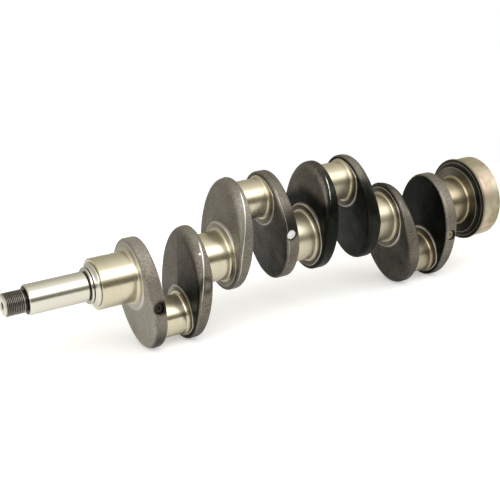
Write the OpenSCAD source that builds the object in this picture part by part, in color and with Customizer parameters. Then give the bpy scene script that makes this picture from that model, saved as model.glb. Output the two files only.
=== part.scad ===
// Four-throw crankshaft with five main bearings, machined from one forging.
// The crank axis runs along X, nose towards -X and flange towards +X.
// The origin is the centre of the middle main journal; the two middle throws point to +Z.
// All sizes are in millimetres.

/* [Show] */
// Number of flat steps on round surfaces
$fn = 96; // [48:8:160]

/* [Journals] */
// Diameter of the five main journals
main_d = 60; // [50:0.5:72]
// Diameter of the four crankpins
pin_d = 48; // [40:0.5:58]
// Distance from the crank axis to each crankpin axis, half the stroke
throw = 59.5; // [49.5:0.5:71.5]
// Distance between neighbouring cylinder centre lines
pitch = 120; // [110:1:144]
// Length of each journal between its two machined cheeks
journal_len = 35; // [29:0.5:42]
// How much further the first main journal runs on towards the nose
nose_run = 8.7; // [4:0.1:14]
// Corner radius where a journal meets its cheek
fillet_r = 3; // [2:0.5:4]

/* [Webs] */
// Metal on each side of the main journal, across the crank
web_flank = 21; // [18:0.5:26]
// Metal beyond the main journal, at the web's heel
web_heel = 14.1; // [13:0.1:18]
// Metal beyond the crankpin, at the web's toe
web_toe = 7.4; // [6:0.1:12]
// Height of each machined cheek above the web's rim, halfway along the throw
cheek_h = 3.3; // [2.5:0.1:4]
// Lean of the web's face on its main journal's side, millimetres per millimetre
lean_main = 0.118; // [0.08:0.002:0.13]
// Lean of the web's face on its crankpin's side, millimetres per millimetre
lean_pin = 0.084; // [0.05:0.002:0.1]
// Forging draft of the web faces, millimetres per millimetre from rim to parting line
draft = 0.05; // [0.03:0.005:0.06]
// Rounding of the web's rim edges
web_edge = 4; // [2.5:0.5:5]
// Width of the machined ring around a main journal
main_ring = 11.5; // [9:0.5:13]
// Width of the machined ring around a crankpin
pin_ring = 12; // [9:0.5:14]

/* [Nose] */
// Diameter of the seat for the timing gear and pulley
seat_d = 35; // [29:0.5:42]
// Length of that seat
seat_len = 71.5; // [59.5:0.5:86]
// Outside diameter of the nut thread on the tip
thread_d = 27; // [22:0.5:30]
// Spacing of the thread's ridges
thread_pitch = 2; // [1.5:0.5:2.5]
// Number of full ridges on the thread
thread_turns = 10; // [7:1:12]
// Height of the grooved shoulder above the seat
shoulder_h = 4; // [3:0.5:6]
// Length of the grooved shoulder
shoulder_len = 9; // [7:0.5:12]
// Width of the key seat in the nose
key_w = 6; // [5:0.5:8]
// Depth of the key seat, measured from the top of the seat
key_depth = 7.5; // [6:0.5:9]

/* [Flange] */
// Diameter of the rear seal land
land_d = 105; // [87.5:0.5:126]
// Length of the rear seal land
land_len = 27.5; // [22:0.5:34]
// Height of the oil flinger's rim above the seal land
flinger_h = 1.5; // [1:0.5:4]
// Width of the oil flinger's rim
flinger_t = 4; // [3.5:0.5:6]
// Diameter of the pilot bore in the flange
pilot_d = 40; // [33:1:47]
// Metal left in front of the pilot bore
pilot_floor = 9.5; // [6:0.5:12]
// Number of flywheel bolt holes
bolt_count = 6; // [4:1:8]
// Diameter of each tapped flywheel bolt hole, at its thread's inner edge
bolt_hole_d = 10.2; // [8.4:0.2:10.4]
// Metal between the bolt holes and the seal land
bolt_wall = 9.4; // [6:0.2:12]
// Metal left in front of the bolt holes
bolt_floor = 5.5; // [4:0.5:8]

/* [Oil ways] */
// Diameter of the sloping drillings from journal to crankpin
oil_d = 6; // [5:0.5:6.5]
// Diameter of the radial drillings in the journals and crankpins
radial_d = 8; // [7.5:0.5:9]
// Width of the countersink's slope at a radial drilling's mouth
mouth_slope = 1; // [0.5:0.25:2]
// Metal on each side of the plug that closes a rim drilling
plug_wall = 2.7; // [2.5:0.1:5]
// Thickness of each plug
plug_t = 7; // [5:0.5:8]

/* [Hidden] */
// Names of all the pieces
// Piece to draw, or all of them

half = pitch / 2;
// Ends of the journals and webs, measured from a main journal's centre
cheek_x = journal_len / 2;
web_t = half - journal_len - 2 * cheek_h;
web_mid = half / 2;
web_x0 = web_mid - web_t / 2;
web_x1 = web_mid + web_t / 2;
// The web's oval: half its width, half its length, and its centre's distance from the crank axis
web_half_w = main_d / 2 + web_flank;
web_half_l = (throw + main_d / 2 + web_heel + pin_d / 2 + web_toe) / 2;
web_shift = throw + pin_d / 2 + web_toe - web_half_l;
// Planes the forging is trimmed to beside the machined cheeks
trim = 0.6;
// Machined cheeks: outside sizes, bevel at the edge, and depth down into the web
main_cheek_d = main_d + 2 * main_ring;
pin_cheek_d = pin_d + 2 * pin_ring;
cheek_bevel = 3;
cheek_bevel_h = 2.6;
cheek_depth = 5;
// How far inside the web's rim the machined cheeks stay
cheek_inset = 2.5;
// Nose stations
main1_front = -2 * pitch - cheek_x - nose_run;
seat_end = main1_front - shoulder_len;
seat_start = seat_end - seat_len;
neck_len = 3.5;
thread_end = seat_start - neck_len;
thread_start = thread_end - thread_turns * thread_pitch;
tip_len = 2.4;
tip_x = thread_start - tip_len;
// Thread: depth as a share of its pitch, and the neck's depth below the thread
thread_depth = 0.61;
neck_drop = 0.5;
tip_bevel = 1.2;
// Centre hole in the tip: mouth, drill, cone's length and drill's depth
centre_mouth_d = 8.8;
centre_drill_d = 3.2;
centre_cone = 4.85;
centre_depth = 9;
// Seat: bevel at the tip, relief groove at the shoulder
seat_bevel = 2;
relief_w = 1.6;
relief_drop = 0.8;
relief_slope = 0.4;
// Shoulder: edge bevel, groove, and the cone's step down from the first main journal
shoulder_d = seat_d + 2 * shoulder_h;
edge_bevel = 0.8;
groove_at = 2;
groove_w = 1.6;
groove_drop = 1.4;
groove_slope = 0.5;
cone_at = 5;
cone_step = 0.6;
cone_drop = 4;
journal_bevel = 0.9;
collar_w = 1.2;
// Key seat: cutter radius, place along the seat, and turn away from the throws
key_r = 11;
key_place = 0.62;
key_turn = 118;
// Rear stations
rear_x = 2 * pitch + cheek_x;
rear_ring_w = 3.9;
flinger_x0 = rear_x + rear_ring_w;
flinger_x1 = flinger_x0 + flinger_t;
land_x0 = flinger_x1;
land_x1 = land_x0 + land_len;
flinger_d = land_d + 2 * flinger_h;
// Rear ring: how far it stays inside the flinger, and its slope
rear_ring_inset = 7.6;
rear_ring_slope = 2.4;
// Flinger: width and length of its front slope, its rounded edges
flinger_slope = 6;
flinger_slope_len = 1.4;
flinger_front_edge = [1, 0.8];
flinger_back_edge = [0.6, 0.5];
// Seal land: relief behind the flinger, bevel at the end
land_relief = 1;
land_bevel = 1.5;
// Flywheel bolt circle
bolt_circle_d = land_d - 2 * bolt_wall - bolt_hole_d;
// Oil ways: how far the mouths are turned from the throw towards the far side
oil_tilt = 16;
pin_oil_tilt = 50;
// A sloping way stops this far short of each axis, inside the radial way it feeds
way_gap = radial_d / 2 + 0.6;
// A radial way runs this far past the journal's axis
way_past = radial_d;
// Plug, the way behind it and its key socket; a way runs this far past the crank's middle plane
plug_d = web_t - 2 * plug_wall;
rim_way_d = 0.7 * plug_d;
plug_key_d = 0.385 * plug_d;
plug_key_depth = 2.2;
plug_bevel = 0.6;
rim_way_past = 1.5;
// Cutting tools reach this far out of the metal
over = 1;

steel = [0.80, 0.78, 0.73];
forged = [0.40, 0.37, 0.34];
bright = [0.88, 0.87, 0.84];
oily = [0.12, 0.12, 0.11];

// Sign of the throw of crankpin j, 1 to 4: the outer two point down
function throw_sign(j) = (j == 1 || j == 4) ? -1 : 1;
// Centre of main journal i, 1 to 5
function main_x(i) = (i - 3) * pitch;
// Centre of crankpin j, 1 to 4
function pin_x(j) = (j - 2.5) * pitch;
// Crankpin beside web k, 1 to 8
function pin_of(k) = ceil(k / 2);
// Main journal beside web k
function main_of(k) = floor(k / 2) + 1;

// Distance from the main journal's centre to the web's main-side face
function face_main(tau, b) =
    web_x0 + lean_main * (tau - throw / 2) - draft * (web_half_w - abs(b));
// Distance from the main journal's centre to the web's pin-side face
function face_pin(tau, b) =
    web_x1 + lean_pin * (tau - throw / 2) + draft * (web_half_w - abs(b));

// Points of the oval rim in the web's own frame: X away from the main journal, Z along the throw
web_n = 48;
function rim_point(i, inset, side, step) =
    let(
        th = 360 * i / web_n,
        tau = web_shift + (web_half_l - inset) * cos(th),
        b = (web_half_w - inset) * sin(th)
    )
    [side < 0 ? face_main(tau, b) + step : face_pin(tau, b) - step, b, tau];

// Insets and steps of the rounded rim edge, from the face to the full rim
edge_steps = 2;
function edge_inset(s) = web_edge * (1 - sin(90 * s / edge_steps));
function edge_step(s) = web_edge * (1 - cos(90 * s / edge_steps));

// Forged body of one web, before it is machined
module web_body() {
    lower = [for (s = [0 : edge_steps]) for (i = [0 : web_n - 1])
        rim_point(i, edge_inset(s), -1, edge_step(s))];
    upper = [for (s = [edge_steps : -1 : 0]) for (i = [0 : web_n - 1])
        rim_point(i, edge_inset(s), 1, edge_step(s))];
    pts = concat(lower, upper);
    rows = 2 * edge_steps + 2;
    halfn = web_n / 2;
    last = (rows - 1) * web_n;
    sides = [for (r = [0 : rows - 2]) for (i = [0 : web_n - 1]) for (k = [0, 1])
        let(
            a = r * web_n + i,
            b = r * web_n + (i + 1) % web_n,
            c = (r + 1) * web_n + (i + 1) % web_n,
            d = (r + 1) * web_n + i
        )
        k == 0 ? [a, b, c] : [a, c, d]];
    // Each end is two planes that meet in the forging's parting line
    cap0 = [[for (i = [halfn : -1 : 0]) i], [for (i = [web_n : -1 : halfn]) i % web_n]];
    cap1 = [[for (i = [0 : halfn]) last + i], [for (i = [halfn : web_n]) last + i % web_n]];
    polyhedron(points = pts, faces = concat(cap0, cap1, sides), convexity = 4);
}

// Machined cheek: a low disc with a bevelled edge, standing on the web
module cheek(d) {
    rotate([0, 90, 0])
        rotate_extrude()
            polygon([
                [0, 0],
                [d / 2 - cheek_bevel, 0],
                [d / 2, cheek_bevel_h],
                [d / 2, cheek_depth],
                [0, cheek_depth]
            ]);
}

// Straight oval prism that trims the cheeks where they would pass the web's rim
module oval_limit() {
    ring = [for (i = [0 : web_n - 1])
        [(web_half_w - cheek_inset) * sin(360 * i / web_n),
            web_shift + (web_half_l - cheek_inset) * cos(360 * i / web_n)]];
    rotate([90, 0, 90])
        linear_extrude(height = half)
            polygon(ring);
}

// One web in its own frame, with both cheeks
module web_blank() {
    intersection() {
        web_body();
        translate([cheek_x + trim, -web_half_w, web_shift - web_half_l])
            cube([half - 2 * (cheek_x + trim), 2 * web_half_w, 2 * web_half_l]);
    }
    intersection() {
        oval_limit();
        union() {
            translate([cheek_x, 0, 0])
                cheek(main_cheek_d);
            translate([half - cheek_x, 0, throw])
                mirror([1, 0, 0])
                    cheek(pin_cheek_d);
        }
    }
}

// Moves a piece from a web's own frame to its place on the crank
module place_web(k) {
    translate([main_x(main_of(k)), 0, 0])
        mirror([k % 2 == 0 ? 1 : 0, 0, 0])
            mirror([0, 0, throw_sign(pin_of(k)) < 0 ? 1 : 0])
                children();
}

// The sloping oil way from a main journal's centre to a crankpin's centre, in a web's frame
module sloping_way() {
    rotate([0, atan2(half, throw), 0])
        translate([0, 0, way_gap])
            cylinder(d = oil_d, h = norm([half, throw]) - 2 * way_gap, $fn = 32);
}

// Cutting tool for one radial oil hole, from a journal's axis outwards, with its countersink
module radial_way(journal_d, tilt) {
    rotate([tilt, 0, 0]) {
        translate([0, 0, -way_past])
            cylinder(d = radial_d, h = way_past + journal_d / 2 + over, $fn = 48);
        translate([0, 0, journal_d / 2 - mouth_slope])
            cylinder(
                d1 = radial_d,
                d2 = radial_d + 2 * (mouth_slope + over),
                h = mouth_slope + over,
                $fn = 48
            );
    }
}

// The web whose rim holds the drilling for crankpin j
function plug_web(j) = j == 1 ? 1 : j == 2 ? 4 : j == 3 ? 5 : 8;
// Side of that rim: -1 is the near side, 1 the far side
function plug_side(j) = j == 3 ? 1 : -1;
// How far the plug sits below the rim
function plug_sink(j) = j == 2 ? 1.8 : 3.5;
// How far the drilling leans: it starts that much nearer to the main journal's level
function plug_lean(j) = j == 2 ? 12 : 0;
// Distance along a leaning drilling from the crank's middle plane to the oval rim
function rim_reach(lean) =
    let(
        u = cos(lean) / web_half_w,
        v = sin(lean) / web_half_l,
        c = (throw / 2 - web_shift) / web_half_l
    )
    (c * v + sqrt(c * c * v * v + (u * u + v * v) * (1 - c * c))) / (u * u + v * v);

// Points a tool along the rim drilling of crankpin j: its Z runs inwards from the rim
module place_rim(j) {
    place_web(plug_web(j))
        translate([web_mid, 0, throw / 2])
            rotate([-plug_side(j) * plug_lean(j), 0, 0])
                translate([0, plug_side(j) * rim_reach(plug_lean(j)), 0])
                    rotate([plug_side(j) * 90, 0, 0])
                        children();
}

// Cutting tool for the rim drilling: a seat for the plug, then a narrower way to the sloping one
module rim_way(j) {
    place_rim(j) {
        translate([0, 0, -2 * over])
            cylinder(d = plug_d, h = 2 * over + plug_sink(j) + plug_t, $fn = 64);
        cylinder(d = rim_way_d, h = rim_reach(plug_lean(j)) + rim_way_past, $fn = 48);
    }
}

// Web k, machined and drilled
module web(k) {
    color(forged)
        difference() {
            place_web(k)
                web_blank();
            place_web(k)
                sloping_way();
            if (plug_web(pin_of(k)) == k)
                rim_way(pin_of(k));
        }
}

// Plug that closes the rim drilling of crankpin j
module oil_plug(j) {
    color(bright)
        place_rim(j)
            translate([0, 0, plug_sink(j)])
                difference() {
                    union() {
                        cylinder(d1 = plug_d - 2 * plug_bevel, d2 = plug_d, h = plug_bevel, $fn = 64);
                        translate([0, 0, plug_bevel])
                            cylinder(d = plug_d, h = plug_t - plug_bevel, $fn = 64);
                    }
                    translate([0, 0, -over])
                        cylinder(d = plug_key_d, h = plug_key_depth + over, $fn = 6);
                }
}

// Half of a journal's outline, from its middle to its cheek, with the corner radius
fillet_steps = 6;
function corner(r, end) = [for (s = [0 : fillet_steps])
    let(t = 90 * s / fillet_steps)
    [r + fillet_r * (1 - cos(t)), end - fillet_r + fillet_r * sin(t)]];
function mirrored(pts) = [for (i = [len(pts) - 1 : -1 : 0]) [pts[i][0], -pts[i][1]]];

// Solid journal between two cheeks, centred on its own middle, lying along X
module journal_blank(d) {
    rotate([0, 90, 0])
        rotate_extrude()
            polygon(concat(
                [[0, -cheek_x]],
                mirrored(corner(d / 2, cheek_x)),
                corner(d / 2, cheek_x),
                [[0, cheek_x]]
            ));
}

// The first journal runs on to the nose and ends in a bevelled face
module first_journal_blank() {
    front = main1_front - main_x(1);
    rotate([0, 90, 0])
        rotate_extrude()
            polygon(concat(
                [
                    [0, front],
                    [main_d / 2 - journal_bevel, front],
                    [main_d / 2, front + journal_bevel]
                ],
                corner(main_d / 2, cheek_x),
                [[0, cheek_x]]
            ));
}

// Main journal i with its radial oil hole and the starts of the sloping ways
module main_journal(i) {
    color(steel)
        difference() {
            translate([main_x(i), 0, 0]) {
                if (i == 1)
                    first_journal_blank();
                else
                    journal_blank(main_d);
            }
            translate([main_x(i), 0, 0])
                radial_way(main_d, -oil_tilt);
            if (i > 1)
                place_web(2 * i - 2)
                    sloping_way();
            if (i < 5)
                place_web(2 * i - 1)
                    sloping_way();
        }
}

// Crankpin j with its radial oil hole and the ends of its sloping ways
module crankpin(j) {
    s = throw_sign(j);
    color(steel)
        difference() {
            translate([pin_x(j), 0, s * throw])
                journal_blank(pin_d);
            translate([pin_x(j), 0, s * throw])
                mirror([0, 0, s < 0 ? 1 : 0])
                    radial_way(pin_d, -pin_oil_tilt);
            place_web(2 * j - 1)
                sloping_way();
            place_web(2 * j)
                sloping_way();
        }
}

// Threaded tip of the nose with its relief neck and centre hole
module nose_thread() {
    r1 = thread_d / 2;
    r0 = r1 - thread_depth * thread_pitch;
    neck_r = r0 - neck_drop;
    ridges = [for (i = [0 : thread_turns - 1]) for (q = [0 : 3])
        [q == 0 || q == 3 ? r0 : r1,
            thread_start + (i + [0.06, 0.44, 0.56, 0.94][q]) * thread_pitch]];
    color(bright)
        difference() {
            rotate([0, 90, 0])
                rotate_extrude()
                    polygon(concat(
                        [[0, tip_x], [r0 - tip_bevel, tip_x], [r0, tip_x + tip_bevel]],
                        ridges,
                        [
                            [r0, thread_end],
                            [neck_r, thread_end + neck_drop],
                            [neck_r, seat_start],
                            [0, seat_start]
                        ]
                    ));
            translate([tip_x, 0, 0])
                rotate([0, 90, 0])
                    cylinder(d1 = centre_mouth_d, d2 = centre_drill_d, h = centre_cone);
            translate([tip_x, 0, 0])
                rotate([0, 90, 0])
                    cylinder(d = centre_drill_d, h = centre_depth, $fn = 32);
        }
}

// Seat for the timing gear and pulley, with a round-bottomed key seat on its far side
module nose_seat() {
    r = seat_d / 2;
    color(bright)
        difference() {
            rotate([0, 90, 0])
                rotate_extrude()
                    polygon([
                        [0, seat_start],
                        [r - seat_bevel, seat_start],
                        [r, seat_start + seat_bevel],
                        [r, seat_end - relief_w - relief_slope],
                        [r - relief_drop, seat_end - relief_w],
                        [r - relief_drop, seat_end],
                        [0, seat_end]
                    ]);
            rotate([-key_turn, 0, 0])
                translate([seat_start + key_place * seat_len, 0, r + key_r - key_depth])
                    rotate([90, 0, 0])
                        cylinder(r = key_r, h = key_w, center = true);
        }
}

// Grooved shoulder between the seat and the first main journal
module nose_shoulder() {
    r = shoulder_d / 2;
    groove_x = seat_end + groove_at;
    color(bright)
        rotate([0, 90, 0])
            rotate_extrude()
                polygon([
                    [0, seat_end],
                    [r - edge_bevel, seat_end],
                    [r, seat_end + edge_bevel],
                    [r, groove_x],
                    [r - groove_drop, groove_x + groove_slope],
                    [r - groove_drop, groove_x + groove_w - groove_slope],
                    [r, groove_x + groove_w],
                    [r + cone_step, seat_end + cone_at],
                    [main_d / 2 - cone_drop, main1_front - collar_w],
                    [main_d / 2 - cone_drop, main1_front],
                    [0, main1_front]
                ]);
}

// Machined ring behind the last main journal
module rear_cheek() {
    r = flinger_d / 2 - rear_ring_inset;
    color(steel)
        rotate([0, 90, 0])
            rotate_extrude()
                polygon([
                    [0, rear_x],
                    [r - rear_ring_slope, rear_x],
                    [r, flinger_x0],
                    [0, flinger_x0]
                ]);
}

// Dark disc that throws oil off before it reaches the seal land
module rear_oil_flinger() {
    r = flinger_d / 2;
    lip = r - flinger_front_edge[0];
    color(oily)
        rotate([0, 90, 0])
            rotate_extrude()
                polygon([
                    [0, flinger_x0],
                    [lip - flinger_slope, flinger_x0],
                    [lip, flinger_x0 + flinger_slope_len],
                    [r, flinger_x0 + flinger_slope_len + flinger_front_edge[1]],
                    [r, flinger_x1 - flinger_back_edge[1]],
                    [r - flinger_back_edge[0], flinger_x1],
                    [0, flinger_x1]
                ]);
}

// Flange: seal land outside, pilot bore and tapped bolt holes in its rear face
module rear_flange() {
    r = land_d / 2;
    color(bright)
        difference() {
            rotate([0, 90, 0])
                rotate_extrude()
                    polygon([
                        [0, land_x0],
                        [r - land_relief, land_x0],
                        [r - land_relief, land_x0 + land_relief],
                        [r, land_x0 + 2 * land_relief],
                        [r, land_x1 - land_bevel],
                        [r - land_bevel, land_x1],
                        [0, land_x1]
                    ]);
            translate([land_x0 + pilot_floor, 0, 0])
                rotate([0, 90, 0])
                    cylinder(d = pilot_d, h = land_len - pilot_floor + over);
            for (i = [0 : bolt_count - 1])
                rotate([360 * (i + 0.5) / bolt_count, 0, 0])
                    translate([land_x0 + bolt_floor, 0, bolt_circle_d / 2])
                        rotate([0, 90, 0])
                            cylinder(d = bolt_hole_d, h = land_len - bolt_floor + over, $fn = 48);
        }
}

module main_journal_1() {
    main_journal(1);
}
module main_journal_2() {
    main_journal(2);
}
module main_journal_3() {
    main_journal(3);
}
module main_journal_4() {
    main_journal(4);
}
module main_journal_5() {
    main_journal(5);
}
module crankpin_1() {
    crankpin(1);
}
module crankpin_2() {
    crankpin(2);
}
module crankpin_3() {
    crankpin(3);
}
module crankpin_4() {
    crankpin(4);
}
module web_1() {
    web(1);
}
module web_2() {
    web(2);
}
module web_3() {
    web(3);
}
module web_4() {
    web(4);
}
module web_5() {
    web(5);
}
module web_6() {
    web(6);
}
module web_7() {
    web(7);
}
module web_8() {
    web(8);
}
module oil_plug_1() {
    oil_plug(1);
}
module oil_plug_2() {
    oil_plug(2);
}
module oil_plug_3() {
    oil_plug(3);
}
module oil_plug_4() {
    oil_plug(4);
}

nose_thread();
nose_seat();
nose_shoulder();
main_journal_1();
main_journal_2();
main_journal_3();
main_journal_4();
main_journal_5();
crankpin_1();
crankpin_2();
crankpin_3();
crankpin_4();
web_1();
web_2();
web_3();
web_4();
web_5();
web_6();
web_7();
web_8();
rear_cheek();
rear_oil_flinger();
rear_flange();
oil_plug_1();
oil_plug_2();
oil_plug_3();
oil_plug_4();
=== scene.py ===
"""Visible pieces of a four-throw forged crankshaft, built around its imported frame.

X runs along the crank from nose to flange, +Z is the throw of the two middle crankpins,
and the origin is the centre of the middle main journal. Lengths are in metres.
"""

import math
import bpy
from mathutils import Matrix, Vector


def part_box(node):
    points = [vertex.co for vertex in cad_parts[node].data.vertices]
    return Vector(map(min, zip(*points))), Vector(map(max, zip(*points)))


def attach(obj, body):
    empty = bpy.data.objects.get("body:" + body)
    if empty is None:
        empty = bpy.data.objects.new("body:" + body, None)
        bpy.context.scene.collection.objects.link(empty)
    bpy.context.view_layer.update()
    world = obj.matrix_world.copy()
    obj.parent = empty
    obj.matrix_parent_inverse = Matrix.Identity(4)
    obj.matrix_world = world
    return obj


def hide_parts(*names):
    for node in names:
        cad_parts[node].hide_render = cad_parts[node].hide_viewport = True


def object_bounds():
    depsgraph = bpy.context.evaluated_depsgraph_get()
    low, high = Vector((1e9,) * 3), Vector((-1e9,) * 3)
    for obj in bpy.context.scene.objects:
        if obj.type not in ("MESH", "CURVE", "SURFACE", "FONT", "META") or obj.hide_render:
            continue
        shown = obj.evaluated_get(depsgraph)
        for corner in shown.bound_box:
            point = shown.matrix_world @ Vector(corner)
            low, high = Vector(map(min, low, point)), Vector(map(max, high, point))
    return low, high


bl_info = {
    "name": "Forged crankshaft",
    "version": (1, 0, 0),
    "blender": (4, 5, 0),
    "location": "View3D > Sidebar > Crankshaft",
    "description": "Builds a crankshaft's ground, forged and turned pieces on its packed frame",
    "category": "Object",
}

import bmesh
import bpy
from mathutils import Matrix, Vector, noise

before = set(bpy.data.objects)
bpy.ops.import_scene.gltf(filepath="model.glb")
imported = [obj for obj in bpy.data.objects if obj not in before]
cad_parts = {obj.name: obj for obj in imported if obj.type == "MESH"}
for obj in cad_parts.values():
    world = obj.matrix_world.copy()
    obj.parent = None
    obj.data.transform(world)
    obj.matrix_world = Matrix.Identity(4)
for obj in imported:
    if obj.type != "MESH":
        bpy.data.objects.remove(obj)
CAD_BOX = [list(corner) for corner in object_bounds()]

MM = 0.001
MAINS = range(1, 6)
PINS = range(1, 5)
WEBS = range(1, 9)


# ---------------------------------------------------------------- stations from the frame

def centre_of(node):
    """Middle of a node's box."""
    low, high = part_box(node)
    return (low + high) / 2


def half_size(node):
    """Half of a node's box along each axis."""
    low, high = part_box(node)
    return (high - low) / 2


PITCH = centre_of("main_journal_3").x - centre_of("main_journal_2").x
HALF = PITCH / 2
THROW = centre_of("crankpin_2").z
CHEEK_X = half_size("main_journal_3").x
WEB_LOW, WEB_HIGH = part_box("web_3")
WEB_W = WEB_HIGH.y
WEB_L = (WEB_HIGH.z - WEB_LOW.z) / 2
WEB_SHIFT = (WEB_HIGH.z + WEB_LOW.z) / 2
WEB_MID = HALF / 2


def main_x(i):
    """Centre of main journal i along the crank."""
    return (i - 3) * PITCH


def pin_x(j):
    """Centre of crankpin j along the crank."""
    return (j - 2.5) * PITCH


def throw_sign(j):
    """The outer two crankpins point down."""
    return -1 if j in (1, 4) else 1


def web_matrix(k):
    """From a web's own frame (X away from its main journal, Z along the throw) to the crank."""
    flip_x = -1 if k % 2 == 0 else 1
    flip_z = throw_sign((k + 1) // 2)
    return Matrix.Translation((main_x(k // 2 + 1), 0, 0)) @ Matrix.Diagonal((flip_x, 1, flip_z, 1))


# ---------------------------------------------------------------- sizes and colours to change

def length(name, text, default):
    """A length in metres for a property group."""
    return bpy.props.FloatProperty(
        name=name, description=text, default=default, min=0, unit="LENGTH", precision=5
    )


def colour(name, text, default):
    """A colour for a property group."""
    return bpy.props.FloatVectorProperty(
        name=name, description=text, default=default, min=0, max=1, size=3, subtype="COLOR"
    )


def share(name, text, default):
    """A number from 0 to 1 for a property group."""
    return bpy.props.FloatProperty(name=name, description=text, default=default, min=0, max=1)


def angle(name, text, degrees):
    """An angle for a property group."""
    return bpy.props.FloatProperty(
        name=name, description=text, default=math.radians(degrees), subtype="ANGLE"
    )


class CrankSizes(bpy.types.PropertyGroup):
    """Sizes of the crank's machined and forged detail."""

    fillet: length("Corner radius", "Radius where a journal meets its cheek", 3 * MM)
    main_ring: length("Main ring", "Width of the machined ring around a main journal", 11.5 * MM)
    pin_ring: length("Pin ring", "Width of the machined ring around a crankpin", 12 * MM)
    cheek_h: length("Cheek height", "Height of a machined cheek above the web's rim", 3.3 * MM)
    web_edge: length("Rim edge", "Rounding of a web's rim edge at its flanks", 3.0 * MM)
    lean_main: share("Main lean", "Lean of a web's face on its main journal's side", 0.118)
    lean_pin: share("Pin lean", "Lean of a web's face on its crankpin's side", 0.084)
    draft: share("Draft", "Forging draft of a web's faces", 0.05)
    hammer: length("Unevenness", "Depth of the waves in the forged skin", 0.35 * MM)
    oil_hole: length("Oil hole", "Diameter of a radial oil hole", 8 * MM)
    oil_mouth: length("Oil mouth", "Diameter of an oil hole's mouth", 10 * MM)
    plug: length("Plug", "Diameter of the plug in a rim drilling", 13 * MM)
    plug_t: length("Plug thickness", "Thickness of the plug in a rim drilling", 7 * MM)
    thread_pitch: length("Thread pitch", "Distance between two turns of the nose thread", 2 * MM)
    thread_depth: length("Thread depth", "Depth of the nose thread", 1.22 * MM)
    bolt_circle: length("Bolt circle", "Diameter of the flywheel bolt circle", 76 * MM)
    bolt_hole: length("Bolt hole", "Diameter of a flywheel bolt hole", 10.2 * MM)
    bolt_count: bpy.props.IntProperty(
        name="Bolts", description="Number of flywheel bolt holes", default=6, min=3, max=12
    )
    pilot: length("Pilot bore", "Diameter of the flange's pilot bore", 40 * MM)


class CrankColours(bpy.types.PropertyGroup):
    """Colours of the crank's finishes."""

    journal: colour("Journal", "Ground and polished journals", (0.83, 0.765, 0.59))
    browned: colour("Browned steel", "Journals with a thin film of old oil", (0.50, 0.43, 0.30))
    cheek: colour("Cheek", "Machined rings beside the journals", (0.37, 0.33, 0.255))
    # Used for edge wear with painted highlight, and for pale skin on the cheeks
    bright: colour("Bright edge", "Edges worn or ground bright", (0.88, 0.85, 0.78))
    pale: colour("Pale forging", "Clean, lightly blasted skin", (0.44, 0.42, 0.375))
    forged: colour("Forging", "Shot-blasted forged skin", (0.29, 0.262, 0.215))
    # Also painted as shade: inside bores, in the thread's grooves and centre hole, in the nose's
    # grooves and steps, and on the rear ring's lower part
    scale: colour("Scale", "Darker scale in the forged skin", (0.13, 0.105, 0.085))
    # Also painted as shade on the webs and on the sunken plugs
    oil: colour("Oil", "Skin under a film of dark oil", (0.010, 0.011, 0.009))
    nose: colour("Nose", "Turned and ground nose", (0.90, 0.87, 0.79))
    thread: colour("Thread", "Crests of the nose thread", (0.46, 0.445, 0.40))
    flange: colour("Flange", "Satin seal land", (0.63, 0.575, 0.44))
    blush: colour("Flange blush", "Warmer patches of the seal land", (0.68, 0.53, 0.43))
    stain: colour("Flange stain", "Darker patches of the seal land", (0.40, 0.355, 0.22))
    plug: colour("Plug", "Bright plug faces", (0.93, 0.93, 0.92))


class CrankStage(bpy.types.PropertyGroup):
    """Camera, light and floor."""

    camera: bpy.props.FloatVectorProperty(
        name="Camera", description="Where the camera stands",
        default=(-0.70997, -1.17121, 0.37804), size=3, subtype="TRANSLATION",
    )
    turn: angle("Turn", "Camera's turn towards the flange from straight across", 29.014)
    tilt: angle("Tilt", "Camera's tilt below level", 15.883)
    roll: angle("Roll", "Camera's roll about its own line of sight", -4.637)
    lens: bpy.props.FloatProperty(
        name="Lens", description="Focal length in millimetres", default=82.68, min=10
    )
    floor: colour("Floor", "Pale floor", (0.93, 0.93, 0.93))
    floor_reach: length("Floor reach", "How far from the crank the floor starts to fade out", 0.36)
    floor_fade: length("Floor fade", "How far the floor takes to fade out", 0.3)
    lift: bpy.props.FloatProperty(
        name="Floor lift", description="Light that comes up through the floor", default=0.4, min=0
    )


def sizes():
    """The scene's sizes."""
    return bpy.context.scene.crank_sizes


def colours():
    """The scene's colours."""
    return bpy.context.scene.crank_colours


# Every finish by its short name, filled when the finishes are made
FINISHES = {}


# ---------------------------------------------------------------- wiring of node trees

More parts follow.
